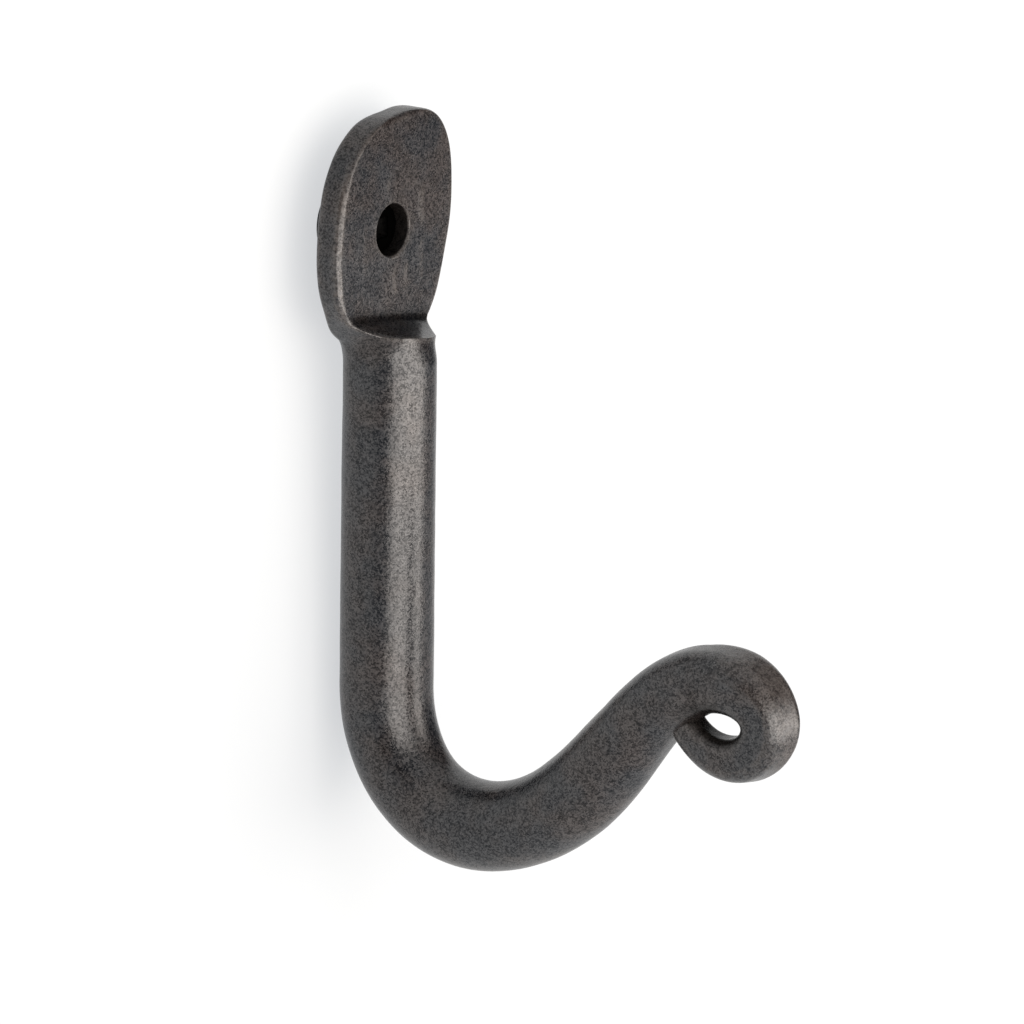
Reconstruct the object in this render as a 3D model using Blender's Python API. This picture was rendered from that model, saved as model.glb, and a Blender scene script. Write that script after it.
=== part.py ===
"""Shutter dog holdback: a forged iron hook that turns on one wall screw, held off the wall by a spacer.

The origin is on the screw's axis, where the screw enters the wall. The wall fills +Y, the hook reaches
out to -Y and hangs down, +Z is up and +X runs across the hook's pad. Sizes are in millimetres, and each
mesh is scaled to metres as it is made.
"""
import math
from collections import namedtuple

import bmesh
import bpy
import numpy as np

TO_METRES = 0.001
GAP = 0.3                     # running gap between neighbouring pieces

# Fixing: a countersunk No. 10 wood screw and a plain round spacer behind the pad
SPACER_DIAMETER = 11.0
SPACER_THICKNESS = 4.4
SPACER_CHAMFER = 0.4
SCREW_LENGTH = 44.5
SHANK_DIAMETER = 4.6
HEAD_DIAMETER = 6.5
HEAD_SUNK = 1.9               # from the pad's front face down to the head's top
HEAD_RIM = 0.55               # height of the head's straight side
DRIVE_ACROSS = 2.8            # square drive recess
DRIVE_DEPTH = 1.8
THREAD_DIAMETER = 4.8
ROOT_DIAMETER = 3.4
THREAD_PITCH = 2.0
THREAD_START = 9.0            # depth behind the wall's face where the thread begins
POINT_LENGTH = 5.0
TIP_DIAMETER = 0.6

# Bar: half-inch round stock
BAR_DIAMETER = 12.7
BAR_HALF = BAR_DIAMETER / 2
NECK_HALF = 6.0               # half width of the bar just under the pad

# Pad: the flattened upper end of the bar. Heights are measured from the screw's axis.
PAD_THICKNESS = 4.0
PAD_HALF_WIDTH = 12.7
PAD_TOP = 15.35
PAD_WIDEST = 0.4              # height at which the pad is widest
PAD_ROUNDNESS = 2.6           # 2 is an ellipse, more is squarer
PAD_EDGE_RADIUS = 0.9
PAD_OFFSET = 0.75             # the hole is punched this far to the -X side of the pad's middle
PAD_LEAN = 0.1                # the pad's middle moves this far to +X for each unit of height
LEAN_END = -10.0              # from this height down to the neck the middle comes back to the axis
PAD_SKEW = 0.065              # and its right side is forged this much higher, per unit of width
SEAT_TO_BAR_BACK = 2.95       # the bar's back stands this far behind the pad's back
WAIST_HALF = 6.0              # half width of the pad where it meets the shoulder
WAIST_HEIGHT = -14.5
WAIST_EASE = 2.2              # above 1 holds the pad's full width longer on the way down
WAIST_SOFTNESS = 1.0          # rounds the corner between that outline and the neck
NECK_END = -18.0
SHOULDER_TOP = -11.6          # front step from the pad to the bar
SHOULDER_RIM = -13.9
SHOULDER_TILT = 0.24          # the rim runs lower to +X by this much for each unit of width
TILT_TOP = -4.0               # height where the pad's face starts to follow that tilt
SHOULDER_RECESS = 0.6         # the bar's front is worn back this far at the rim
CORNER_SPREAD = 1.7           # the pad's lower front corner at -X is spread outwards this far
SPREAD_TOP = -3.5
SPREAD_END = -16.0
BACK_ROUND_TOP = -8.0         # the back starts to round off here, until the neck's end
RIM_ROUNDNESS = 0.95          # how round the front is at the rim: 0 is the pad's section, 1 the bar's
BACK_STEP_TOP = -8.0

# Screw hole through the pad
HOLE_DIAMETER = 7.0
HOLE_STRAIGHT = 2.6           # depth of the full-width part
CLEARANCE_DIAMETER = SHANK_DIAMETER + 2 * GAP

# Centreline of the bar below the neck. A straight run has a length, a bend has a turn in degrees
# (positive turns forward and up) and its radius at both ends. The last values are the section at the
# run's end: half width across X, half depth in the plane of the bend, and how square its corners are.
Run = namedtuple("Run", "length turn start_radius end_radius half_width half_depth squareness")
SHANK_LEAN = -1.0
HEEL_TOP = -62.3              # height where the straight shank ends and the bend begins
RUNS = [
    Run(NECK_END - HEEL_TOP, 0.0, 0.0, 0.0, 6.35, 6.35, 0.0),     # shank
    Run(0.0, 50.0, 26.0, 12.5, 6.05, 6.05, 0.0),                  # heel
    Run(0.0, 37.0, 12.5, 16.2, 6.15, 6.15, 0.0),                  # bottom of the bend
    Run(0.0, 55.0, 16.2, 62.0, 5.7, 5.7, 0.0),                    # rise
    Run(5.6, 0.0, 0.0, 0.0, 4.95, 4.95, 0.1),                     # arm
    Run(0.0, -36.2, 53.0, 12.3, 4.6, 4.35, 0.2),                  # crest
    Run(0.0, -97.0, 12.3, 4.2, 2.8, 3.05, 0.5),                   # front of the curl
    Run(0.0, -76.0, 4.2, 6.7, 2.75, 3.2, 0.4),                    # underside of the curl
    Run(0.0, -81.0, 6.7, 9.7, 1.9, 2.2, 0.3),                     # tip
]
RIM_SLOPE = 0.45              # outer face of the squared end slopes to -X, in step with the squareness
STATION_SPACING = 1.6
LOOP_POINTS = 24
ROUND_POINTS = 32
THREAD_POINTS = 20
SHARP_ANGLE = math.radians(35)

PAD_BACK = -(SPACER_THICKNESS + GAP)
PAD_FRONT = PAD_BACK - PAD_THICKNESS
BAR_AXIS = PAD_BACK + SEAT_TO_BAR_BACK - BAR_HALF


def mix(start, end, share):
    return start + (end - start) * share


def blend(start, end, value):
    """Goes smoothly from 0 at start to 1 at end."""
    share = min(1.0, max(0.0, (value - start) / (end - start)))
    return share * share * (3 - 2 * share)


def rounded_loop(half_width, half_depth, corner):
    """Points round a rounded rectangle, spread by distance and turning, so flats and corners get both."""
    corner = min(corner, half_width, half_depth)
    flat_x, flat_y = half_width - corner, half_depth - corner
    angle = np.concatenate([np.linspace(quarter, quarter + 1, 13) for quarter in range(4)]) * math.pi / 2
    side_x = np.repeat([1, -1, -1, 1], 13)
    side_y = np.repeat([1, 1, -1, -1], 13)
    x = side_x * flat_x + corner * np.cos(angle)
    y = side_y * flat_y + corner * np.sin(angle)
    x, y, angle = np.append(x, x[0]), np.append(y, y[0]), np.append(angle, 2 * math.pi)
    length = np.concatenate([[0.0], np.cumsum(np.hypot(np.diff(x), np.diff(y)))])
    measure = length / length[-1] + 1.2 * angle / (2 * math.pi)
    start = -flat_y / length[-1]
    wanted = (start + np.arange(LOOP_POINTS) * measure[-1] / LOOP_POINTS) % measure[-1]
    return list(zip(np.interp(wanted, measure, x), np.interp(wanted, measure, y)))


def pad_outline(height):
    """Half width of the pad's outline at a height."""
    if height > PAD_WIDEST:
        share = min(1.0, (height - PAD_WIDEST) / (PAD_TOP - PAD_WIDEST))
        return PAD_HALF_WIDTH * (1 - share ** PAD_ROUNDNESS) ** (1 / PAD_ROUNDNESS)
    share = (PAD_WIDEST - height) / (PAD_WIDEST - WAIST_HEIGHT)
    outline = mix(PAD_HALF_WIDTH, WAIST_HALF, share ** WAIST_EASE)
    return (outline + NECK_HALF + math.hypot(outline - NECK_HALF, WAIST_SOFTNESS * share)) / 2


def head_ring(height):
    """One level ring of the pad, its shoulders or the neck."""
    step = min(1.0, max(0.0, (SHOULDER_TOP - height) / (SHOULDER_TOP - SHOULDER_RIM))) ** 2
    neck = blend(WAIST_HEIGHT, NECK_END, height)
    straighten = 1 - blend(LEAN_END, NECK_END, height)
    recess = SHOULDER_RECESS * (1 - blend(SHOULDER_RIM, NECK_END, height))
    front = mix(PAD_FRONT, BAR_AXIS - BAR_HALF + recess, step)
    back = mix(PAD_BACK, BAR_AXIS + BAR_HALF, blend(BACK_STEP_TOP, NECK_END, height))
    to_top = PAD_TOP - height
    if to_top < PAD_EDGE_RADIUS:
        inset = PAD_EDGE_RADIUS - math.sqrt(PAD_EDGE_RADIUS ** 2 - (PAD_EDGE_RADIUS - to_top) ** 2)
        front, back = front + inset, back - inset
    half_width = mix(pad_outline(height), NECK_HALF, neck)
    half_depth = (back - front) / 2
    tilt = SHOULDER_TILT * blend(TILT_TOP, SHOULDER_TOP, height) * (1 - neck)
    spread = CORNER_SPREAD * blend(SPREAD_TOP, SHOULDER_TOP, height)
    spread *= 1 - blend(SHOULDER_TOP, SPREAD_END, height)
    front_roundness = mix(RIM_ROUNDNESS * step, 1, neck)
    back_roundness = blend(BACK_ROUND_TOP, NECK_END, height)
    flat_loop = rounded_loop(half_width, half_depth, PAD_EDGE_RADIUS)
    round_loop = rounded_loop(half_width, half_width, half_width)
    ring = []
    for (flat_x, flat_out), (round_x, round_out) in zip(flat_loop, round_loop):
        frontness = blend(-half_depth, half_depth, flat_out)
        roundness = mix(back_roundness, front_roundness, frontness)
        x = mix(flat_x, round_x, roundness)
        out = mix(flat_out, round_out * half_depth / half_width, roundness)
        side = max(0.0, -x / half_width)
        lean = (PAD_OFFSET + PAD_LEAN * height) * straighten - spread * side * frontness
        rise = PAD_SKEW * x * (1 - neck) - tilt * x * frontness
        ring.append((x + lean, (front + back) / 2 - out, height + rise))
    return ring


def head_heights():
    """Heights of the pad's rings from the top down: close at the round top and at the shoulder."""
    top = [mix(PAD_WIDEST, PAD_TOP, math.sin(math.radians(87 - 8.7 * i))) for i in range(11)]
    body = [mix(PAD_WIDEST, SHOULDER_TOP, i / 9) for i in range(1, 10)]
    shoulder = [mix(SHOULDER_TOP, SHOULDER_RIM, math.sqrt(i / 7)) for i in range(1, 8)]
    neck = [mix(SHOULDER_RIM, NECK_END, i / 5) for i in range(1, 5)]
    return top + body + shoulder + neck


def bar_rings():
    """Rings down the shank, round the bend, along the arm and round the curl."""
    depth, height, heading = BAR_AXIS, NECK_END, math.radians(-90 + SHANK_LEAN)
    half_width, half_depth, squareness = NECK_HALF, BAR_HALF, 0.0
    rings = [bar_ring(depth, height, heading, half_width, half_depth, squareness)]
    for run in RUNS:
        turn = math.radians(run.turn)
        steps = max(1, round(run.length / (3 * STATION_SPACING)))
        if turn:
            middle_radius = (run.start_radius + run.end_radius) / 2
            steps = max(5, round(abs(turn) * middle_radius / STATION_SPACING))
        for step in range(steps):
            distance = run.length / steps
            if turn:
                share = (step + 0.5) / steps
                distance = abs(turn) / steps / mix(1 / run.start_radius, 1 / run.end_radius, share)
            middle_heading = heading + turn / steps / 2
            depth -= distance * math.cos(middle_heading)
            height += distance * math.sin(middle_heading)
            heading += turn / steps
            share = (step + 1) / steps
            rings.append(bar_ring(depth, height, heading, mix(half_width, run.half_width, share),
                                  mix(half_depth, run.half_depth, share),
                                  mix(squareness, run.squareness, share)))
        half_width, half_depth, squareness = run.half_width, run.half_depth, run.squareness
    return rings


def bar_ring(depth, height, heading, half_width, half_depth, squareness):
    ring = []
    for x, out in rounded_loop(half_width, half_width, half_width * (1 - squareness)):
        out *= half_depth / half_width
        out += RIM_SLOPE * squareness * x * max(0.0, out / half_depth)
        ring.append((x, depth + out * math.sin(heading), height + out * math.cos(heading)))
    return ring


def circle(radius, depth, count=ROUND_POINTS):
    angles = [2 * math.pi * i / count for i in range(count)]
    return [(radius * math.cos(a), depth, radius * math.sin(a)) for a in angles]


def skin(name, rings, closed=False):
    """Object whose surface runs through the rings in order. Its ends are capped, or joined if closed."""
    mesh_maker = bmesh.new()
    loops = [[mesh_maker.verts.new(point) for point in ring] for ring in rings]
    pairs = list(zip(loops, loops[1:]))
    if closed:
        pairs.append((loops[-1], loops[0]))
    else:
        mesh_maker.faces.new(loops[0])
        mesh_maker.faces.new(loops[-1])
    for one, other in pairs:
        for i in range(len(one)):
            j = (i + 1) % len(one)
            mesh_maker.faces.new((one[i], one[j], other[j], other[i]))
    bmesh.ops.scale(mesh_maker, vec=(TO_METRES,) * 3, verts=mesh_maker.verts)
    bmesh.ops.recalc_face_normals(mesh_maker, faces=mesh_maker.faces)
    mesh = bpy.data.meshes.new(name)
    mesh_maker.to_mesh(mesh)
    mesh_maker.free()
    mesh.shade_smooth()
    mesh.set_sharp_from_angle(angle=SHARP_ANGLE)
    piece = bpy.data.objects.new(name, mesh)
    bpy.context.scene.collection.objects.link(piece)
    return piece


def cut(piece, cutter):
    cutter.hide_render = True
    cutter.display_type = "WIRE"
    modifier = piece.modifiers.new("cut", "BOOLEAN")
    modifier.operation = "DIFFERENCE"
    modifier.solver = "EXACT"
    modifier.object = cutter


def paint(piece, colour, roughness, metallic):
    material = bpy.data.materials.new(piece.name)
    material.use_nodes = True
    shader = material.node_tree.nodes["Principled BSDF"]
    shader.inputs["Base Color"].default_value = (*colour, 1.0)
    shader.inputs["Roughness"].default_value = roughness
    shader.inputs["Metallic"].default_value = metallic
    piece.data.materials.append(material)


def make_hook():
    """The forging: pad, shoulder, shank, bend, arm and curl, with the screw hole cut through the pad."""
    rings = [head_ring(height) for height in head_heights()] + bar_rings()
    hook = skin("forged_hook", rings)
    straight_end = PAD_FRONT + HOLE_STRAIGHT
    cone_depth = (HOLE_DIAMETER - CLEARANCE_DIAMETER) / 2
    hole = skin("hole_cutter", [
        circle(HOLE_DIAMETER / 2, PAD_FRONT - 1),
        circle(HOLE_DIAMETER / 2, straight_end),
        circle(CLEARANCE_DIAMETER / 2, straight_end + cone_depth),
        circle(CLEARANCE_DIAMETER / 2, PAD_BACK + 1),
    ])
    cut(hook, hole)
    paint(hook, (0.055, 0.050, 0.048), 0.5, 0.6)


def thread_ring(depth, thread_end):
    """Ring of the threaded part: the ridge climbs once round for each pitch and fades at both ends."""
    fade = blend(THREAD_START, THREAD_START + THREAD_PITCH, depth)
    taper = 1 - max(0.0, depth - thread_end) / POINT_LENGTH
    points = []
    for i in range(THREAD_POINTS):
        turn = i / THREAD_POINTS
        phase = (depth / THREAD_PITCH - turn) % 1.0
        ridge = max(0.0, 1 - abs(phase - 0.5) * 3.2)
        root = mix(SHANK_DIAMETER, ROOT_DIAMETER, fade) / 2
        radius = (root + fade * ridge * (THREAD_DIAMETER - ROOT_DIAMETER) / 2) * taper
        radius = max(TIP_DIAMETER / 2, radius)
        angle = 2 * math.pi * turn
        points.append((radius * math.cos(angle), depth, radius * math.sin(angle)))
    return points


def make_screw():
    """Countersunk wood screw: sunk head with a square drive, smooth shank, coarse thread and point."""
    head_top = PAD_FRONT + HEAD_SUNK
    cone_start = head_top + HEAD_RIM
    cone_end = cone_start + (HEAD_DIAMETER - SHANK_DIAMETER) / 2
    tip = head_top + SCREW_LENGTH
    thread_end = tip - POINT_LENGTH
    ring_spacing = THREAD_PITCH / 6
    thread_rings = int((tip - THREAD_START) / ring_spacing)
    rings = [circle(radius, depth, THREAD_POINTS) for radius, depth in (
        (HEAD_DIAMETER / 2 - 0.15, head_top),
        (HEAD_DIAMETER / 2, head_top + 0.15),
        (HEAD_DIAMETER / 2, cone_start),
        (SHANK_DIAMETER / 2, cone_end),
    )]
    rings += [thread_ring(THREAD_START + i * ring_spacing, thread_end) for i in range(thread_rings + 1)]
    screw = skin("pivot_screw", rings)
    half = DRIVE_ACROSS / 2
    square = [(half, half), (-half, half), (-half, -half), (half, -half)]
    drive = skin("drive_cutter", [[(x, depth, z) for x, z in square]
                                  for depth in (head_top - 1, head_top + DRIVE_DEPTH)])
    cut(screw, drive)
    paint(screw, (0.020, 0.020, 0.021), 0.42, 0.7)


def make_spacer():
    """Round spacer between the wall and the pad, which keeps the thicker bar clear of the wall."""
    outer, inner, front = SPACER_DIAMETER / 2, CLEARANCE_DIAMETER / 2, -SPACER_THICKNESS
    profile = [
        (inner, 0.0), (outer - SPACER_CHAMFER, 0.0), (outer, -SPACER_CHAMFER),
        (outer, front + SPACER_CHAMFER), (outer - SPACER_CHAMFER, front), (inner, front),
    ]
    spacer = skin("wall_spacer", [circle(radius, depth) for radius, depth in profile], closed=True)
    paint(spacer, (0.030, 0.029, 0.029), 0.45, 0.7)


def main():
    for old in list(bpy.data.objects):
        bpy.data.objects.remove(old, do_unlink=True)
    make_hook()
    make_screw()
    make_spacer()


main()
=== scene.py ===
"""Looks of the shutter dog holdback: the forged hook, the screw it turns on, the spacer and the studio.

Shapes are worked out in millimetres in the CAD frame: the wall's face is y = 0, the hook reaches to -y,
z is up. They are scaled to metres as each mesh is made.
"""
import math
from collections import namedtuple

import bmesh
import bpy
import numpy as np
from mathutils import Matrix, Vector, noise


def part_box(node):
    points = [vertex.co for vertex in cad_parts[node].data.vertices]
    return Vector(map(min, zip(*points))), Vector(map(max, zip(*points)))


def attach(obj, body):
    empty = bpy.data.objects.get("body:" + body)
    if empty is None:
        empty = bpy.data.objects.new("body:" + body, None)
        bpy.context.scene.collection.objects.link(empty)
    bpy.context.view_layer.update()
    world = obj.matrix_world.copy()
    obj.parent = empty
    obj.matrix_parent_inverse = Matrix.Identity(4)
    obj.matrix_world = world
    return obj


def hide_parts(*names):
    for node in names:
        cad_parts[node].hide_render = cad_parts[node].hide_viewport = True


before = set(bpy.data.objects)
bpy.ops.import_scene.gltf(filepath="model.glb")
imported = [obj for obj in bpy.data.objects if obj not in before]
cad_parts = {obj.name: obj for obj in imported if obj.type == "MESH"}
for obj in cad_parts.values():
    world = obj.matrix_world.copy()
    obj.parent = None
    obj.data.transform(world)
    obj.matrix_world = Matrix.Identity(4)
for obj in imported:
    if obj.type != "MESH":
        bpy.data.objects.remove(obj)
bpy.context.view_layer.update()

TO_METRES = 0.001
GAP = 0.3


def node_box(node):
    low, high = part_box(node)
    return low / TO_METRES, high / TO_METRES


SPACER_LOW, SPACER_HIGH = node_box("wall_spacer")
SCREW_LOW, SCREW_HIGH = node_box("pivot_screw")

# Hook: the CAD model's driving dimensions
BAR_HALF = 6.35
NECK_HALF = 6.0
PAD_THICKNESS = 4.0
PAD_HALF_WIDTH = 12.7
PAD_TOP = 15.35
PAD_WIDEST = 0.4
PAD_ROUNDNESS = 2.6
PAD_EDGE_RADIUS = 0.9
PAD_OFFSET = 0.75
PAD_LEAN = 0.1
LEAN_END = -10.0
PAD_SKEW = 0.065
SEAT_TO_BAR_BACK = 2.95
WAIST_HALF = 6.0
WAIST_HEIGHT = -14.5
WAIST_EASE = 2.2
WAIST_SOFTNESS = 1.0
NECK_END = -18.0
SHOULDER_TOP = -11.6
SHOULDER_RIM = -13.9
SHOULDER_TILT = 0.24
TILT_TOP = -4.0
SHOULDER_RECESS = 0.6
CORNER_SPREAD = 1.7
SPREAD_END = -16.0
BACK_ROUND_TOP = -8.0
SPREAD_TOP = -3.5
RIM_ROUNDNESS = 0.95
BACK_STEP_TOP = -8.0
HOLE_RADIUS = 3.5
HOLE_STRAIGHT = 2.6
CLEARANCE_RADIUS = 2.6
HOLE_BURR = 0.22                # width of the small chamfer round the hole's mouth
BURR_BEND = 0.06                # its width where it bends

Run = namedtuple("Run", "length turn start_radius end_radius half_width half_depth squareness")
SHANK_LEAN = -1.0
HEEL_TOP = -62.3
RUNS = [
    Run(NECK_END - HEEL_TOP, 0.0, 0.0, 0.0, 6.35, 6.35, 0.0),   # shank
    Run(0.0, 50.0, 26.0, 12.5, 6.05, 6.05, 0.0),                # heel
    Run(0.0, 37.0, 12.5, 16.2, 6.15, 6.15, 0.0),                # bottom of the bend
    Run(0.0, 55.0, 16.2, 62.0, 5.7, 5.7, 0.0),                  # rise
    Run(5.6, 0.0, 0.0, 0.0, 4.95, 4.95, 0.1),                   # arm
    Run(0.0, -36.2, 53.0, 12.3, 4.6, 4.35, 0.2),                # crest
    Run(0.0, -97.0, 12.3, 4.2, 2.8, 3.05, 0.5),                 # front of the curl
    Run(0.0, -76.0, 4.2, 6.7, 2.75, 3.2, 0.4),                  # underside of the curl
    Run(0.0, -81.0, 6.7, 9.7, 1.9, 2.2, 0.3),                   # tip
]
RIM_SLOPE = 0.45                # slope of the outer face where the section is square

# Hook: how finely its skin is drawn
STATION_SPACING = 0.5
MIN_STATIONS = 8                # in a bent run
TAPER_SMOOTHING = 9             # stations on each side over which the bar's size is averaged
LOOP_POINTS = 160
CORNER_POINTS = 25              # points that trace each corner of a loop before they are spread
TURNING_SHARE = 0.6             # how much a loop's turning draws its points, against its length
CIRCLE_POINTS = 96
TOP_START = 88.5                # degrees from the pad's widest level to its first ring at the top
TOP_RINGS, BODY_RINGS, SHOULDER_RINGS, NECK_RINGS = 50, 34, 18, 12

PAD_BACK = SPACER_LOW.y - GAP
PAD_FRONT = PAD_BACK - PAD_THICKNESS
BAR_AXIS = PAD_BACK + SEAT_TO_BAR_BACK - BAR_HALF


def mix(start, end, share):
    return start + (end - start) * share


def blend(start, end, value):
    """Goes smoothly from 0 at start to 1 at end."""
    share = min(1.0, max(0.0, (value - start) / (end - start)))
    return share * share * (3 - 2 * share)


def ramp(values, start, width):
    """Goes straight from 0 at start to 1 a width further on, for each value of an array."""
    return np.clip((values - start) / width, 0, 1)


def rounded_loop(half_width, half_depth, corner):
    """Points round a rounded rectangle, spread by distance and by turning."""
    corner = min(corner, half_width, half_depth)
    flat_x, flat_y = half_width - corner, half_depth - corner
    quarters = [np.linspace(quarter, quarter + 1, CORNER_POINTS) for quarter in range(4)]
    angle = np.concatenate(quarters) * math.pi / 2
    side_x = np.repeat([1, -1, -1, 1], CORNER_POINTS)
    side_y = np.repeat([1, 1, -1, -1], CORNER_POINTS)
    x = side_x * flat_x + corner * np.cos(angle)
    y = side_y * flat_y + corner * np.sin(angle)
    x, y, angle = np.append(x, x[0]), np.append(y, y[0]), np.append(angle, 2 * math.pi)
    length = np.concatenate([[0.0], np.cumsum(np.hypot(np.diff(x), np.diff(y)))])
    measure = length / length[-1] + TURNING_SHARE * angle / (2 * math.pi)
    start = -flat_y / length[-1]
    wanted = (start + np.arange(LOOP_POINTS) * measure[-1] / LOOP_POINTS) % measure[-1]
    return list(zip(np.interp(wanted, measure, x), np.interp(wanted, measure, y)))


def pad_outline(height):
    """Half width of the pad's outline at a height."""
    if height > PAD_WIDEST:
        share = min(1.0, (height - PAD_WIDEST) / (PAD_TOP - PAD_WIDEST))
        return PAD_HALF_WIDTH * (1 - share ** PAD_ROUNDNESS) ** (1 / PAD_ROUNDNESS)
    share = (PAD_WIDEST - height) / (PAD_WIDEST - WAIST_HEIGHT)
    outline = mix(PAD_HALF_WIDTH, WAIST_HALF, share ** WAIST_EASE)
    return (outline + NECK_HALF + math.hypot(outline - NECK_HALF, WAIST_SOFTNESS * share)) / 2


def head_ring(height):
    """One level ring of the pad, its shoulders or the neck."""
    step = min(1.0, max(0.0, (SHOULDER_TOP - height) / (SHOULDER_TOP - SHOULDER_RIM))) ** 2
    neck = blend(WAIST_HEIGHT, NECK_END, height)
    straighten = 1 - blend(LEAN_END, NECK_END, height)
    recess = SHOULDER_RECESS * (1 - blend(SHOULDER_RIM, NECK_END, height))
    front = mix(PAD_FRONT, BAR_AXIS - BAR_HALF + recess, step)
    back = mix(PAD_BACK, BAR_AXIS + BAR_HALF, blend(BACK_STEP_TOP, NECK_END, height))
    to_top = PAD_TOP - height
    if to_top < PAD_EDGE_RADIUS:
        inset = PAD_EDGE_RADIUS - math.sqrt(PAD_EDGE_RADIUS ** 2 - (PAD_EDGE_RADIUS - to_top) ** 2)
        front, back = front + inset, back - inset
    half_width = mix(pad_outline(height), NECK_HALF, neck)
    half_depth = (back - front) / 2
    tilt = SHOULDER_TILT * blend(TILT_TOP, SHOULDER_TOP, height) * (1 - neck)
    spread = CORNER_SPREAD * blend(SPREAD_TOP, SHOULDER_TOP, height)
    spread *= 1 - blend(SHOULDER_TOP, SPREAD_END, height)
    front_roundness = mix(RIM_ROUNDNESS * step, 1, neck)
    back_roundness = blend(BACK_ROUND_TOP, NECK_END, height)
    flat_loop = rounded_loop(half_width, half_depth, PAD_EDGE_RADIUS)
    round_loop = rounded_loop(half_width, half_width, half_width)
    ring = []
    for (flat_x, flat_out), (round_x, round_out) in zip(flat_loop, round_loop):
        frontness = blend(-half_depth, half_depth, flat_out)
        roundness = mix(back_roundness, front_roundness, frontness)
        x = mix(flat_x, round_x, roundness)
        out = mix(flat_out, round_out * half_depth / half_width, roundness)
        side = max(0.0, -x / half_width)
        lean = (PAD_OFFSET + PAD_LEAN * height) * straighten - spread * side * frontness
        rise = PAD_SKEW * x * (1 - neck) - tilt * x * frontness
        ring.append((x + lean, (front + back) / 2 - out, height + rise))
    return ring


def head_heights():
    """Heights of the pad's rings from the top down: close at the round top and at the shoulder."""
    angles = [math.radians(TOP_START - TOP_START / TOP_RINGS * i) for i in range(TOP_RINGS + 1)]
    top = [mix(PAD_WIDEST, PAD_TOP, math.sin(angle)) for angle in angles]
    body = [mix(PAD_WIDEST, SHOULDER_TOP, i / BODY_RINGS) for i in range(1, BODY_RINGS + 1)]
    shares = [math.sqrt(i / SHOULDER_RINGS) for i in range(1, SHOULDER_RINGS + 1)]
    shoulder = [mix(SHOULDER_TOP, SHOULDER_RIM, share) for share in shares]
    neck = [mix(SHOULDER_RIM, NECK_END, i / NECK_RINGS) for i in range(1, NECK_RINGS)]
    return top + body + shoulder + neck


def bar_stations():
    """Place and section of each ring of the bar, from the neck to the curl's tip."""
    depth, height, heading = BAR_AXIS, NECK_END, math.radians(-90 + SHANK_LEAN)
    half_width, half_depth, squareness = NECK_HALF, BAR_HALF, 0.0
    places, sections = [(depth, height, heading)], [(half_width, half_depth, squareness)]
    for run in RUNS:
        turn = math.radians(run.turn)
        steps = max(1, round(run.length / STATION_SPACING))
        if turn:
            middle_radius = (run.start_radius + run.end_radius) / 2
            steps = max(MIN_STATIONS, round(abs(turn) * middle_radius / STATION_SPACING))
        for step in range(steps):
            distance = run.length / steps
            if turn:
                share = (step + 0.5) / steps
                distance = abs(turn) / steps / mix(1 / run.start_radius, 1 / run.end_radius, share)
            middle_heading = heading + turn / steps / 2
            depth -= distance * math.cos(middle_heading)
            height += distance * math.sin(middle_heading)
            heading += turn / steps
            places.append((depth, height, heading))
            share = (step + 1) / steps
            sections.append((mix(half_width, run.half_width, share),
                             mix(half_depth, run.half_depth, share),
                             mix(squareness, run.squareness, share)))
        half_width, half_depth, squareness = run.half_width, run.half_depth, run.squareness
    return places, sections


def even_out(sizes):
    """Averages each size with its neighbours, so the taper has no corners where two runs meet."""
    window = np.ones(2 * TAPER_SMOOTHING + 1) / (2 * TAPER_SMOOTHING + 1)
    return np.convolve(np.pad(sizes, TAPER_SMOOTHING, "edge"), window, "valid")


def bar_rings():
    places, sections = bar_stations()
    half_widths, half_depths, squarenesses = zip(*sections)
    sizes = zip(even_out(half_widths), even_out(half_depths), squarenesses)
    return [bar_ring(*place, *size) for place, size in zip(places, sizes)]


def bar_ring(depth, height, heading, half_width, half_depth, squareness):
    """One ring across the bar, from round to a square whose outer face slopes towards -x."""
    ring = []
    for x, out in rounded_loop(half_width, half_width, half_width * (1 - squareness)):
        out *= half_depth / half_width
        out += RIM_SLOPE * squareness * x * max(0.0, out / half_depth)
        ring.append((x, depth + out * math.sin(heading), height + out * math.cos(heading)))
    return ring


def circle(radius, depth, count=CIRCLE_POINTS):
    angles = [2 * math.pi * i / count for i in range(count)]
    return [(radius * math.cos(a), depth, radius * math.sin(a)) for a in angles]


def skin(name, rings, closed=False):
    """Object whose surface runs through the rings in order. Its ends are capped, or joined if closed."""
    maker = bmesh.new()
    loops = [[maker.verts.new(point) for point in ring] for ring in rings]
    pairs = list(zip(loops, loops[1:]))
    if closed:
        pairs.append((loops[-1], loops[0]))
    else:
        maker.faces.new(loops[0])
        maker.faces.new(loops[-1])
    for one, other in pairs:
        for i in range(len(one)):
            j = (i + 1) % len(one)
            maker.faces.new((one[i], one[j], other[j], other[i]))
    bmesh.ops.recalc_face_normals(maker, faces=maker.faces)
    mesh = bpy.data.meshes.new(name)
    maker.to_mesh(mesh)
    maker.free()
    piece = bpy.data.objects.new(name, mesh)
    bpy.context.scene.collection.objects.link(piece)
    return piece


def cut(piece, cutter):
    """Takes the cutter's shape out of the piece for good."""
    modifier = piece.modifiers.new("cut", "BOOLEAN")
    modifier.operation = "DIFFERENCE"
    modifier.solver = "EXACT"
    modifier.object = cutter
    view = bpy.context.evaluated_depsgraph_get()
    mesh = bpy.data.meshes.new_from_object(piece.evaluated_get(view))
    piece.modifiers.clear()
    piece.data = mesh
    mesh.name = piece.name
    bpy.data.objects.remove(cutter, do_unlink=True)


def read(vertices, name):
    """One vector for each vertex, as rows."""
    values = np.empty(len(vertices) * 3)
    vertices.foreach_get(name, values)
    return values.reshape(-1, 3)


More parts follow.
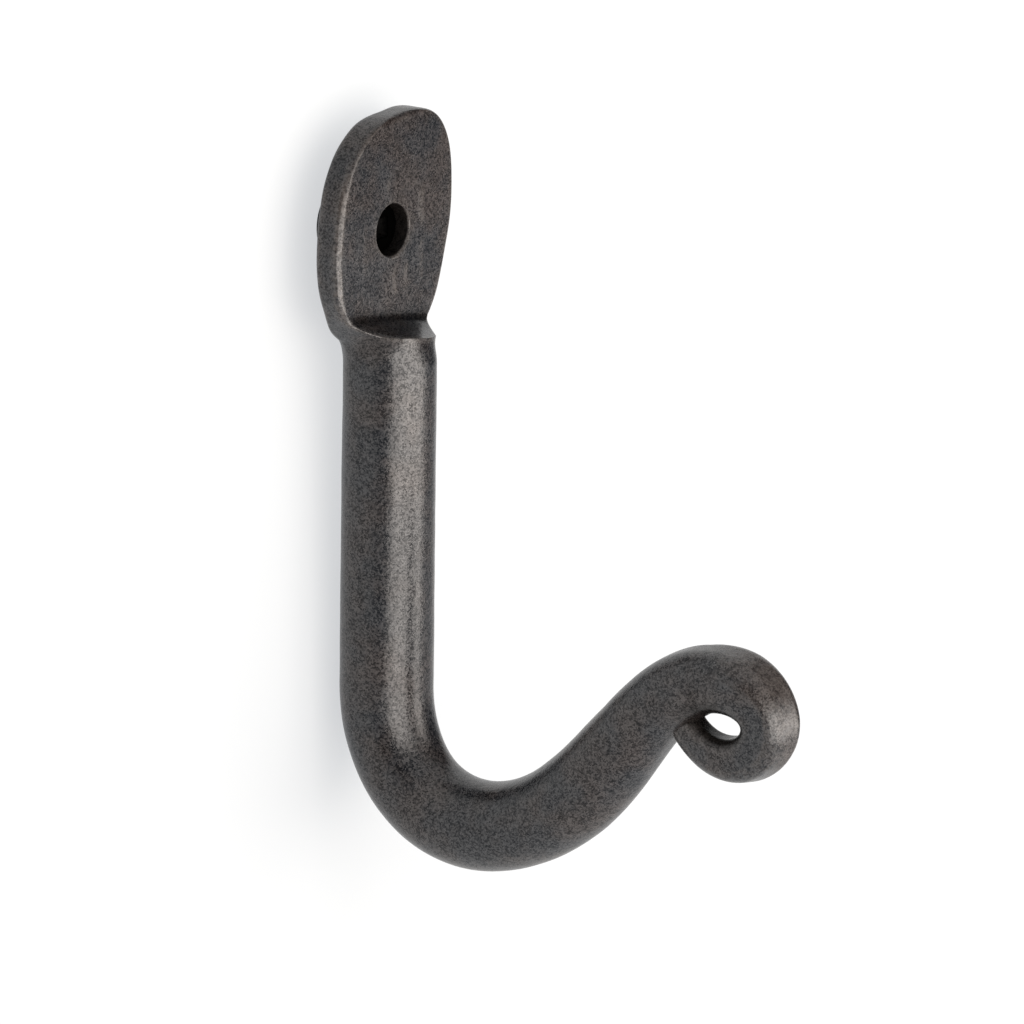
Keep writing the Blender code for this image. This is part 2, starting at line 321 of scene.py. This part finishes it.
def add_mask(mesh, name, values):
    """Stores one number for each vertex, for a material to read."""
    attribute = mesh.attributes.new(name, "FLOAT", "POINT")
    attribute.data.foreach_set("value", np.asarray(values, np.float32))


def raise_mask(mesh, name, values):
    """Raises a mask to the given values where they are higher."""
    data = mesh.attributes[name].data
    shares = np.empty(len(data))
    data.foreach_get("value", shares)
    data.foreach_set("value", np.maximum(shares, values))


SHORTEST_EDGE = 0.01            # shorter edges count as this long, so a sliver gets no strong mask


def mask_edges(mesh, sharp, hollow_shade, spread):
    """Masks of the outer edges, where the finish wears, and of the inner corners, which are darkened as
    painted shade.

    sharp and hollow give the curvature, per millimetre, at which each mask starts and is full. spread
    says how many times each mask is averaged with its neighbours.
    """
    points, normals = read(mesh.vertices, "co"), read(mesh.vertices, "normal")
    ends = np.empty(len(mesh.edges) * 2, np.int64)
    mesh.edges.foreach_get("vertices", ends)
    a, b = ends.reshape(-1, 2).T
    along = points[b] - points[a]
    length_squared = np.maximum((along ** 2).sum(1), SHORTEST_EDGE ** 2)
    bend = ((normals[b] - normals[a]) * along).sum(1) / length_squared
    kinds = (("edge", 1, sharp, spread[0]), ("hollow_shade", -1, hollow_shade, spread[1]))
    for name, sign, (low, high), times in kinds:
        value = np.zeros(len(points))
        np.maximum.at(value, a, sign * bend)
        np.maximum.at(value, b, sign * bend)
        share = ramp(value, low, high - low)
        count = np.bincount(a, minlength=len(points)) + np.bincount(b, minlength=len(points))
        for _ in range(times):
            near = np.bincount(a, share[b], len(points)) + np.bincount(b, share[a], len(points))
            share = 0.5 * share + 0.5 * near / np.maximum(count, 1)
        add_mask(mesh, name, share)


def finish(piece, sharp_degrees=35):
    """Scales a piece from millimetres to metres and shades it smooth but for its sharp edges."""
    points = read(piece.data.vertices, "co") * TO_METRES
    piece.data.vertices.foreach_set("co", points.ravel())
    piece.data.update()
    piece.data.shade_smooth()
    piece.data.set_sharp_from_angle(angle=math.radians(sharp_degrees))


Mark = namedtuple("Mark", "x low high height")
DRAW_MARKS = [
    Mark(6.5, -1.0, 5.4, 0.10), Mark(6.2, -8.5, -1.5, 0.05), Mark(-0.9, 4.2, 7.6, 0.06),
    Mark(0.3, -9.8, -4.5, 0.07), Mark(2.6, -9.0, -3.8, 0.05), Mark(-6.0, -6.0, 2.0, 0.03),
]
MARK_WIDTH = 0.38
MARK_FADE = 1.5                 # length over which a mark rises and ends
MARK_SWAY = 0.25
MARK_SWAY_LENGTH = 3.0
MARK_SHINE = 16.0               # share of the rubbed look for each millimetre of a mark's height
MARKED_FACING = 0.9             # only the pad's front face is marked


def draw_marks(x, z):
    """Height of the fine upright ridges that the hammer and file left on the pad's face."""
    total = 0.0
    for mark in DRAW_MARKS:
        share = blend(mark.low, mark.low + MARK_FADE, z)
        share *= 1 - blend(mark.high - MARK_FADE, mark.high, z)
        sway = MARK_SWAY * noise.noise(Vector((mark.x, 0.0, z / MARK_SWAY_LENGTH)))
        total += mark.height * share * math.exp(-((x - mark.x - sway) / MARK_WIDTH) ** 2)
    return total


WAVE_LENGTH, WAVE_HEIGHT, WAVE_ON_ARM = 9.0, 0.06, 0.05
BLOW_LENGTH, BLOW_HEIGHT, BLOW_ON_ARM, BLOW_ON_PAD = 4.2, 0.03, 0.02, 0.02
BLOW_OFFSET = Vector((7.1, 3.3, 9.7))
ARM_DEPTHS = (-18.0, -42.0)     # where the arm's stronger hammer work starts and is full
PAD_HEIGHTS = (-13.5, -9.0)     # and the pad's


def forge(piece):
    """Shallow, irregular hammer work: gentle waves on the shank, stronger on the arm, curl and pad."""
    mesh = piece.data
    points, normals = read(mesh.vertices, "co"), read(mesh.vertices, "normal")
    heights, marks = [], []
    for (x, y, z), facing in zip(points, -normals[:, 1]):
        wave = noise.noise(Vector((x, y, z)) / WAVE_LENGTH)
        blow = noise.noise(Vector((x, y, z)) / BLOW_LENGTH + BLOW_OFFSET)
        on_arm = blend(*ARM_DEPTHS, y)
        on_pad = blend(*PAD_HEIGHTS, z)
        height = (WAVE_HEIGHT + WAVE_ON_ARM * on_arm) * wave
        height += (BLOW_HEIGHT + BLOW_ON_ARM * on_arm + BLOW_ON_PAD * on_pad) * blow
        mark = draw_marks(x, z) if z > SHOULDER_TOP and facing > MARKED_FACING else 0.0
        marks.append(mark)
        heights.append(height + mark)
    moved = points + normals * np.array(heights)[:, None]
    mesh.vertices.foreach_set("co", moved.ravel())
    mesh.update()
    add_mask(mesh, "mark", np.clip(MARK_SHINE * np.array(marks), 0, 1))


BORE_MARGIN = 0.05
# Painted shade on the shoulder's ledge: strength, and the upward facing it needs
LEDGE_SHADE, LEDGE_FACING = 0.35, 0.4
LEDGE_ABOVE, LEDGE_BEHIND = 1.0, 0.5    # its painted shade's reach past the shoulder and the pad's face
EYE = (-63.0, -57.9)            # middle of the curl's eye: depth, height
# Painted shade inside the curl's eye: strength, reach, fade and the facing it needs
EYE_SHADE, EYE_REACH, EYE_FADE = 0.9, 8.0, 3.0
EYE_FACING, EYE_FACING_FADE = 0.2, 0.5
# Painted highlight on the curl's outer rim: strength, reach and fade
RIM_HIGHLIGHT, RIM_REACH, RIM_FADE = 0.55, 14.0, 3.0
RIM_DEPTH = -60.0               # the rim's painted highlight starts here and runs outwards
RIM_FACING, RIM_FACING_FADE = 0.72, 0.2


def paint_shade_and_rim_highlight(mesh):
    """Darkens the bore, the shoulder's ledge and the curl's eye as painted shade, and paints a highlight
    on the curl's rim.
    """
    points, normals = read(mesh.vertices, "co"), read(mesh.vertices, "normal")
    x, y, z = points.T
    bore = (np.hypot(x, z) < HOLE_RADIUS + BORE_MARGIN) & (z > NECK_END)
    on_ledge = (z < SHOULDER_TOP + LEDGE_ABOVE) & (z > NECK_END) & (y < PAD_FRONT + LEDGE_BEHIND)
    ledge = LEDGE_SHADE * ((normals[:, 2] > LEDGE_FACING) & on_ledge)
    to_eye = np.array(EYE) - points[:, 1:]
    distance = np.hypot(*to_eye.T)
    facing = (normals[:, 1:] * to_eye).sum(1) / distance
    eye = EYE_SHADE * ramp(facing, EYE_FACING, EYE_FACING_FADE)
    eye *= ramp(EYE_REACH - distance, 0, EYE_FADE)
    # Painted shade: the bore goes fully dark, the shoulder's ledge and the inside of the curl's eye
    # partly.
    raise_mask(mesh, "hollow_shade", np.maximum.reduce([bore * 1.0, ledge, eye]))
    # Painted highlight: the curl's outer rim gets the rubbed-iron colour through the mark mask.
    rim = ramp(-facing, RIM_FACING, RIM_FACING_FADE) * ramp(RIM_DEPTH - y, 0, RIM_FADE)
    raise_mask(mesh, "mark", RIM_HIGHLIGHT * rim * ramp(RIM_REACH - distance, 0, RIM_FADE))


FILED_FROM, FILED_FADE = -13.0, 2.5     # height above which the pad has its upright streaks
DARK_TOP_FROM, DARK_TOP_FADE = -6.0, 18.0       # height above which the pad gets darker: painted shade


def make_hook():
    hook = skin("hook_forging", [head_ring(height) for height in head_heights()] + bar_rings())
    forge(hook)
    straight_end = PAD_FRONT + HOLE_STRAIGHT
    mouth = HOLE_RADIUS + HOLE_BURR
    cutter = skin("hole", [
        circle(mouth + 1, PAD_FRONT - 1),
        circle(mouth, PAD_FRONT),
        circle(HOLE_RADIUS + BURR_BEND, PAD_FRONT + HOLE_BURR * 0.6),
        circle(HOLE_RADIUS, PAD_FRONT + HOLE_BURR * 1.4),
        circle(HOLE_RADIUS, straight_end),
        circle(CLEARANCE_RADIUS, straight_end + HOLE_RADIUS - CLEARANCE_RADIUS),
        circle(CLEARANCE_RADIUS, PAD_BACK + 1),
    ])
    cut(hook, cutter)
    mesh = hook.data
    mask_edges(mesh, sharp=(0.28, 0.95), hollow_shade=(0.12, 0.6), spread=(3, 7))
    heights = read(mesh.vertices, "co")[:, 2]
    add_mask(mesh, "pad", ramp(heights, FILED_FROM, FILED_FADE))
    add_mask(mesh, "pad_top_shade", ramp(heights, DARK_TOP_FROM, DARK_TOP_FADE))
    paint_shade_and_rim_highlight(mesh)
    finish(hook)
    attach(hook, "hook")
    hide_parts("forged_hook")
    mesh.materials.append(iron())


# Screw
HEAD_RADIUS = 3.25
HEAD_RIM = 0.55
HEAD_EDGE = [(0.18, 0.0), (0.07, 0.03), (0.0, 0.15)]    # inset and depth of its rounding's points
NECK_BLEND = [(0.12, -0.12), (0.0, 0.1)]        # how the cone runs into the shank: radius, depth
SHANK_RADIUS = 2.3
SHANK_END_GAP = 0.5
DRIVE_HALF = 1.4
DRIVE_DEPTH = 1.8
DRIVE_LIP = 0.12                # width and depth of the flare round the recess
DRIVE_TAPER = 0.08
THREAD_RADIUS = 2.4
ROOT_RADIUS = 1.7
THREAD_PITCH = 2.0
THREAD_START = 9.0
RIDGE_HEIGHT, RIDGE_SLOPE = 1.12, 3.8   # the ridge's crest is flat where this passes 1
POINT_LENGTH = 5.0
TIP_RADIUS = 0.3
THREAD_POINTS = 72
RINGS_PER_PITCH = 18
SHADE_FADE = 0.5                # the screw darkens over this depth inside the pad: painted shade


def thread_ring(depth, thread_end):
    """Ring of the threaded part: the ridge climbs once round for each pitch and fades at both ends."""
    fade = blend(THREAD_START, THREAD_START + THREAD_PITCH, depth)
    taper = 1 - max(0.0, depth - thread_end) / POINT_LENGTH
    points = []
    for i in range(THREAD_POINTS):
        turn = i / THREAD_POINTS
        phase = (depth / THREAD_PITCH - turn) % 1.0
        ridge = min(1.0, max(0.0, RIDGE_HEIGHT - abs(phase - 0.5) * RIDGE_SLOPE))
        root = mix(SHANK_RADIUS, ROOT_RADIUS, fade)
        radius = max(TIP_RADIUS, (root + fade * ridge * (THREAD_RADIUS - ROOT_RADIUS)) * taper)
        angle = 2 * math.pi * turn
        points.append((radius * math.cos(angle), depth, radius * math.sin(angle)))
    return points


def make_screw():
    head_top = SCREW_LOW.y
    cone_start = head_top + HEAD_RIM
    cone_end = cone_start + HEAD_RADIUS - SHANK_RADIUS
    tip = SCREW_HIGH.y
    profile = [(HEAD_RADIUS - inset, head_top + depth) for inset, depth in HEAD_EDGE]
    profile.append((HEAD_RADIUS, cone_start))
    profile += [(SHANK_RADIUS + radius, cone_end + depth) for radius, depth in NECK_BLEND]
    profile += [(SHANK_RADIUS, cone_end + 4.0), (SHANK_RADIUS, THREAD_START - SHANK_END_GAP)]
    rings = [circle(radius, depth, THREAD_POINTS) for radius, depth in profile]
    spacing = THREAD_PITCH / RINGS_PER_PITCH
    for i in range(int((tip - THREAD_START) / spacing) + 1):
        rings.append(thread_ring(THREAD_START + i * spacing, tip - POINT_LENGTH))
    screw = skin("screw_black", rings)
    squares = [
        (head_top - 0.5, DRIVE_HALF + DRIVE_LIP),
        (head_top + DRIVE_LIP, DRIVE_HALF),
        (head_top + DRIVE_DEPTH, DRIVE_HALF - DRIVE_TAPER),
    ]
    corners = ((1, 1), (-1, 1), (-1, -1), (1, -1))
    drive = [[(x * half, depth, z * half) for x, z in corners] for depth, half in squares]
    cut(screw, skin("drive", drive))
    mask_edges(screw.data, sharp=(0.8, 3.0), hollow_shade=(0.8, 3.0), spread=(1, 1))
    depths = read(screw.data.vertices, "co")[:, 1]
    # Painted shade on the part of the screw that sits inside the pad.
    raise_mask(screw.data, "hollow_shade", ramp(PAD_BACK - depths, 0, SHADE_FADE))
    finish(screw, 30)
    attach(screw, "fixing")
    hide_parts("pivot_screw")
    screw.data.materials.append(black_steel("screw_steel", shade=0.010, roughness=0.42))


SPACER_ROUNDING = 0.4
SPACER_CHAMFER = 0.15           # at both mouths of its bore


def make_spacer():
    outer, back, front = SPACER_HIGH.x, SPACER_HIGH.y, SPACER_LOW.y
    round_middle = outer - SPACER_ROUNDING
    arc = [math.radians(15 * i) for i in range(7)]
    along = [SPACER_ROUNDING * math.sin(angle) for angle in arc]
    across = [SPACER_ROUNDING * math.cos(angle) for angle in arc]
    profile = [(CLEARANCE_RADIUS, back - SPACER_CHAMFER), (CLEARANCE_RADIUS + SPACER_CHAMFER, back)]
    profile += [(round_middle + a, back - SPACER_ROUNDING + b) for a, b in zip(along, across)]
    profile += [(round_middle + b, front + SPACER_ROUNDING - a) for a, b in zip(along, across)]
    profile += [(CLEARANCE_RADIUS + SPACER_CHAMFER, front), (CLEARANCE_RADIUS, front + SPACER_CHAMFER)]
    spacer = skin("spacer_ring", [circle(radius, depth) for radius, depth in profile], closed=True)
    mask_edges(spacer.data, sharp=(0.6, 2.5), hollow_shade=(0.6, 2.5), spread=(1, 1))
    finish(spacer)
    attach(spacer, "fixing")
    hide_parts("wall_spacer")
    spacer.data.materials.append(black_steel("spacer_steel", shade=0.016, roughness=0.46))


class Nodes:
    """Short way to write a material's node tree."""

    def __init__(self, name):
        self.material = bpy.data.materials.new(name)
        self.material.use_nodes = True
        self.tree = self.material.node_tree
        self.shader = self.tree.nodes["Principled BSDF"]
        self.output = self.tree.nodes["Material Output"]

    def add(self, kind, **settings):
        node = self.tree.nodes.new(kind)
        for key, value in settings.items():
            setattr(node, key, value)
        return node

    def join(self, source, target):
        self.tree.links.new(source, target)

    def feed(self, source, target):
        """Gives an input its source: a socket is linked, a plain value is set."""
        if hasattr(source, "links"):
            self.join(source, target)
        else:
            target.default_value = source

    def place(self, stretch=(1.0, 1.0, 1.0)):
        """Position on the object in millimetres, stretched."""
        position = self.add("ShaderNodeTexCoord").outputs["Object"]
        mapping = self.add("ShaderNodeMapping")
        mapping.inputs["Scale"].default_value = [share / TO_METRES for share in stretch]
        self.join(position, mapping.inputs["Vector"])
        return mapping.outputs["Vector"]

    def grain(self, size, roughness=0.6, detail=3.0, stretch=(1.0, 1.0, 1.0)):
        """Noise with features of about this size in millimetres."""
        node = self.add("ShaderNodeTexNoise")
        node.inputs["Scale"].default_value = 1 / size
        node.inputs["Detail"].default_value = detail
        node.inputs["Roughness"].default_value = roughness
        self.join(self.place(stretch), node.inputs["Vector"])
        return node.outputs["Fac"]

    def cells(self, size):
        """A random value for each small cell of about this size in millimetres."""
        node = self.add("ShaderNodeTexVoronoi")
        node.inputs["Scale"].default_value = 1 / size
        self.join(self.place(), node.inputs["Vector"])
        return node.outputs["Color"]

    def math(self, operation, *values):
        node = self.add("ShaderNodeMath", operation=operation)
        for value, socket in zip(values, node.inputs):
            self.feed(value, socket)
        return node.outputs[0]

    def remap(self, value, low, high, new_low=0.0, new_high=1.0):
        node = self.add("ShaderNodeMapRange", interpolation_type="SMOOTHSTEP")
        self.feed(value, node.inputs["Value"])
        limits = {"From Min": low, "From Max": high, "To Min": new_low, "To Max": new_high}
        for name, number in limits.items():
            node.inputs[name].default_value = number
        return node.outputs["Result"]

    def blend(self, share, first, second):
        """Colour between the two. The mix node's colours are its inputs 6 and 7 and its output 2."""
        node = self.add("ShaderNodeMix", data_type="RGBA")
        self.feed(share, node.inputs[0])
        self.feed(first, node.inputs[6])
        self.feed(second, node.inputs[7])
        return node.outputs[2]

    def scaled(self, value, factor):
        return self.math("MULTIPLY", value, factor)

    def rest(self, value):
        """What is left of one."""
        return self.math("SUBTRACT", 1.0, value)

    def mask(self, name):
        return self.add("ShaderNodeAttribute", attribute_name=name).outputs["Fac"]

    def bump(self, height, strength, distance, normal=None):
        node = self.add("ShaderNodeBump")
        node.inputs["Strength"].default_value = strength
        node.inputs["Distance"].default_value = distance
        self.join(height, node.inputs["Height"])
        if normal is not None:
            self.join(normal, node.inputs["Normal"])
        return node.outputs["Normal"]


# black laid as painted shade in hollows, bores and hidden parts
PAINTED_SHADE_BLACK = (0.0005, 0.0005, 0.0005, 1)
COOL_DARK, WARM_DARK = (0.002, 0.003, 0.005, 1), (0.005, 0.004, 0.004, 1)
COOL_LIGHT, WARM_LIGHT = (0.018, 0.018, 0.020, 1), (0.032, 0.025, 0.023, 1)
# colour of rubbed edges and marks, also laid on the curl's rim as a painted highlight
RUBBED_IRON_AND_SHEEN = (0.095, 0.085, 0.078, 1)
RUBBED_STEEL = (0.12, 0.115, 0.11, 1)
SPECK_SHARE, MOTTLE_SHARE = 0.78, 0.22
GLOSS_LOW, GLOSS_RANGE = 0.23, 0.6


def iron():
    """Charcoal-black forged iron: fine speckle, brownish patches and worn edges, with painted shade in
    its hollows and towards the pad's top, and a painted highlight on the curl's rim.
    """
    n = Nodes("forged_iron")
    patches = n.remap(n.grain(7.0, roughness=0.55), 0.36, 0.66)
    mottle = n.remap(n.grain(0.9), 0.36, 0.66)
    specks = n.remap(n.cells(0.2), 0.2, 0.8)
    streaks = n.grain(1.1, stretch=(1.0, 1.0, 0.09))
    # Painted shade: where the hollow mask is set the colour goes towards black and the gloss drops.
    unshaded_share = n.rest(n.scaled(n.mask("hollow_shade"), 0.8))
    # Painted shade: the pad gets darker towards its top, with less rubbed colour and less gloss.
    top_shade_factor = n.rest(n.scaled(n.mask("pad_top_shade"), 0.35))
    dark = n.blend(patches, COOL_DARK, WARM_DARK)
    light = n.blend(patches, COOL_LIGHT, WARM_LIGHT)
    grain = n.math("ADD", n.scaled(mottle, MOTTLE_SHARE), n.scaled(specks, SPECK_SHARE))
    colour = n.blend(grain, dark, light)
    rub = n.remap(n.grain(0.8, roughness=0.65, detail=4.0), 0.30, 0.62)
    # Edges and draw marks are rubbed brighter; the mark mask also carries the painted highlight on the
    # curl's rim.
    edge = n.math("MAXIMUM", n.mask("edge"), n.mask("mark"))
    wear = n.math("MULTIPLY", n.math("MULTIPLY", edge, rub), top_shade_factor)
    colour = n.blend(n.scaled(wear, 0.55), colour, RUBBED_IRON_AND_SHEEN)
    colour = n.blend(unshaded_share, PAINTED_SHADE_BLACK, colour)
    n.join(colour, n.shader.inputs["Base Color"])
    n.join(n.remap(specks, 0.0, 1.0, 0.26, 0.38), n.shader.inputs["Roughness"])
    gloss = n.math("MULTIPLY", n.math("ADD", n.scaled(grain, GLOSS_RANGE), GLOSS_LOW), unshaded_share)
    n.join(n.math("MULTIPLY", gloss, top_shade_factor), n.shader.inputs["Specular IOR Level"])
    normal = n.bump(n.math("MULTIPLY", streaks, n.mask("pad")), 0.5, 0.00008)
    normal = n.bump(mottle, 0.35, 0.00004, normal)
    n.join(normal, n.shader.inputs["Normal"])
    return n.material


def black_steel(name, shade, roughness):
    """Black-coated steel with a fine even grain, rubbed a little brighter along its edges, and with
    painted shade where its hollow mask is set.
    """
    n = Nodes(name)
    grain = n.grain(0.25)
    dark, light = (shade, shade, shade * 1.05, 1), (shade * 2.2,) * 3 + (1,)
    colour = n.blend(n.remap(grain, 0.35, 0.7), dark, light)
    wear = n.math("MULTIPLY", n.mask("edge"), n.remap(n.grain(0.5), 0.35, 0.65))
    colour = n.blend(n.scaled(wear, 0.35), colour, RUBBED_STEEL)
    # Painted shade: where the hollow mask is set the colour goes to black and the gloss drops.
    unshaded_share = n.rest(n.mask("hollow_shade"))
    colour = n.blend(unshaded_share, PAINTED_SHADE_BLACK, colour)
    n.join(colour, n.shader.inputs["Base Color"])
    n.join(n.remap(grain, 0.3, 0.7, roughness, roughness + 0.14), n.shader.inputs["Roughness"])
    n.join(n.scaled(unshaded_share, 0.2), n.shader.inputs["Specular IOR Level"])
    n.join(n.bump(grain, 0.3, 0.00003), n.shader.inputs["Normal"])
    return n.material


# Studio
WALL_GAP = 0.0003
SWEEP_HALF_WIDTH = 1.6
SWEEP_TOP = 0.9
FLOOR_HEIGHT = -0.42
FLOOR_DEPTH = 1.7
COVE_RADIUS = 0.14
COVE_STEPS = 12
PANEL_COLOUR, PANEL_GLOW = (0.10, 0.10, 0.098, 1), (0.95, 0.97, 1.0, 1)
PANEL_GLOW_STRENGTH = 0.61


def lit_panel():
    """White acrylic lit from behind, which softens the shadow. From its back it is clear."""
    n = Nodes("studio_panel")
    settings = {"Base Color": PANEL_COLOUR, "Roughness": 0.9, "Specular IOR Level": 0.1,
                "Emission Color": PANEL_GLOW, "Emission Strength": PANEL_GLOW_STRENGTH}
    for name, value in settings.items():
        n.shader.inputs[name].default_value = value
    behind = n.add("ShaderNodeNewGeometry").outputs["Backfacing"]
    swap = n.add("ShaderNodeMixShader")
    n.join(behind, swap.inputs[0])
    n.join(n.shader.outputs[0], swap.inputs[1])
    n.join(n.add("ShaderNodeBsdfTransparent").outputs[0], swap.inputs[2])
    n.join(swap.outputs[0], n.output.inputs["Surface"])
    return n.material


def make_sweep():
    """Wall just behind the object's mounting face, curving into a floor below it."""
    profile = [(WALL_GAP, SWEEP_TOP)]
    for i in range(COVE_STEPS + 1):
        angle = math.radians(90 / COVE_STEPS * i)
        profile.append((WALL_GAP - COVE_RADIUS * (1 - math.cos(angle)),
                        FLOOR_HEIGHT + COVE_RADIUS * (1 - math.sin(angle))))
    profile.append((-FLOOR_DEPTH, FLOOR_HEIGHT))
    corners = [(x, y, z) for x in (-SWEEP_HALF_WIDTH, SWEEP_HALF_WIDTH) for y, z in profile]
    count = len(profile)
    faces = [(i, i + 1, count + i + 1, count + i) for i in range(count - 1)]
    mesh = bpy.data.meshes.new("studio_sweep")
    mesh.from_pydata(corners, [], faces)
    mesh.shade_smooth()
    mesh.materials.append(lit_panel())
    sweep = bpy.data.objects.new("studio_sweep", mesh)
    bpy.context.scene.collection.objects.link(sweep)
    return sweep


VIEW_AZIMUTH, VIEW_ELEVATION = -54.0, 15.2
VIEW_DISTANCE = 1.1
LENS = 295.0
CLIP_START = 0.01
AIM = Vector((-0.0040, -0.0310, -0.0341))       # point that the camera and the lights face


def direction(azimuth, elevation):
    """Unit vector from the object towards a viewer at these angles, in degrees."""
    a, e = math.radians(azimuth), math.radians(elevation)
    return Vector((math.sin(a) * math.cos(e), -math.cos(a) * math.cos(e), math.sin(e)))


def add_softbox(name, azimuth, elevation, distance, width, height, power, colour):
    """Rectangular light that faces the object and that the camera doesn't see."""
    light = bpy.data.lights.new(name, "AREA")
    light.shape = "RECTANGLE"
    light.size, light.size_y = width, height
    light.energy = power
    light.color = colour
    lamp = bpy.data.objects.new(name, light)
    bpy.context.scene.collection.objects.link(lamp)
    towards = direction(azimuth, elevation)
    lamp.location = AIM + towards * distance
    lamp.rotation_euler = towards.to_track_quat("Z", "Y").to_euler()
    lamp.visible_camera = False
    return lamp


def make_camera():
    camera = bpy.data.cameras.new("camera")
    camera.lens = LENS
    camera.clip_start = CLIP_START
    holder = bpy.data.objects.new("camera", camera)
    bpy.context.scene.collection.objects.link(holder)
    towards = direction(VIEW_AZIMUTH, VIEW_ELEVATION)
    holder.location = AIM + towards * VIEW_DISTANCE
    holder.rotation_euler = towards.to_track_quat("Z", "Y").to_euler()
    bpy.context.scene.camera = holder


KEY_LAYERS = [(2, 3.4), (13, 5.2), (25, 7.6)]   # elevation of each layer's upper edge, power
KEY_BOTTOM = -31                # elevation of their lower edge, seen from the object
KEY_AZIMUTH, KEY_DISTANCE, KEY_WIDTH = -8, 0.72, 1.36
KEY_COLOUR, OVERHEAD_COLOUR, WASH_COLOUR = (1.0, 0.93, 0.87), (1.0, 0.95, 0.92), (1.0, 0.99, 0.97)
# name, azimuth, elevation, power
PANEL_WASHES = [("panel_wash_right", 36, 12, 18.0), ("panel_wash_left", -42, 42, 21.0)]
BACKDROP_COLOUR = (0.90, 0.95, 1.0, 1)
AMBIENT, BACKDROP = 0.06, 1.0   # the world's strength as light and as the camera sees it


def make_light(sweep):
    """The key is three softboxes of different height, so it fades towards the top. The panel washes
    light only the sweep."""
    for top, power in KEY_LAYERS:
        middle, half = (top + KEY_BOTTOM) / 2, math.radians(top - KEY_BOTTOM) / 2
        height = 2 * KEY_DISTANCE * math.tan(half)
        add_softbox(f"key_{top}", KEY_AZIMUTH, middle, KEY_DISTANCE,
                    KEY_WIDTH, height, power, KEY_COLOUR)
    add_softbox("overhead", azimuth=-40, elevation=68, distance=0.8,
                width=1.6, height=1.0, power=5.0, colour=OVERHEAD_COLOUR)
    only_panel = bpy.data.collections.new("lit_by_panel_wash")
    only_panel.objects.link(sweep)
    for name, azimuth, elevation, power in PANEL_WASHES:
        wash = add_softbox(name, azimuth, elevation, distance=0.8,
                           width=1.3, height=1.0, power=power, colour=WASH_COLOUR)
        wash.light_linking.receiver_collection = only_panel
    scene = bpy.context.scene
    scene.world = bpy.data.worlds.new("studio")
    scene.world.use_nodes = True
    tree = scene.world.node_tree
    background = tree.nodes["Background"]
    background.inputs["Color"].default_value = BACKDROP_COLOUR
    ray = tree.nodes.new("ShaderNodeLightPath")
    strength = tree.nodes.new("ShaderNodeMapRange")
    strength.inputs["To Min"].default_value = AMBIENT
    strength.inputs["To Max"].default_value = BACKDROP
    tree.links.new(ray.outputs["Is Camera Ray"], strength.inputs["Value"])
    tree.links.new(strength.outputs["Result"], background.inputs["Strength"])
    scene.view_settings.view_transform = "Standard"
    scene.view_settings.look = "None"


make_hook()
make_screw()
make_spacer()
make_camera()
make_light(make_sweep())
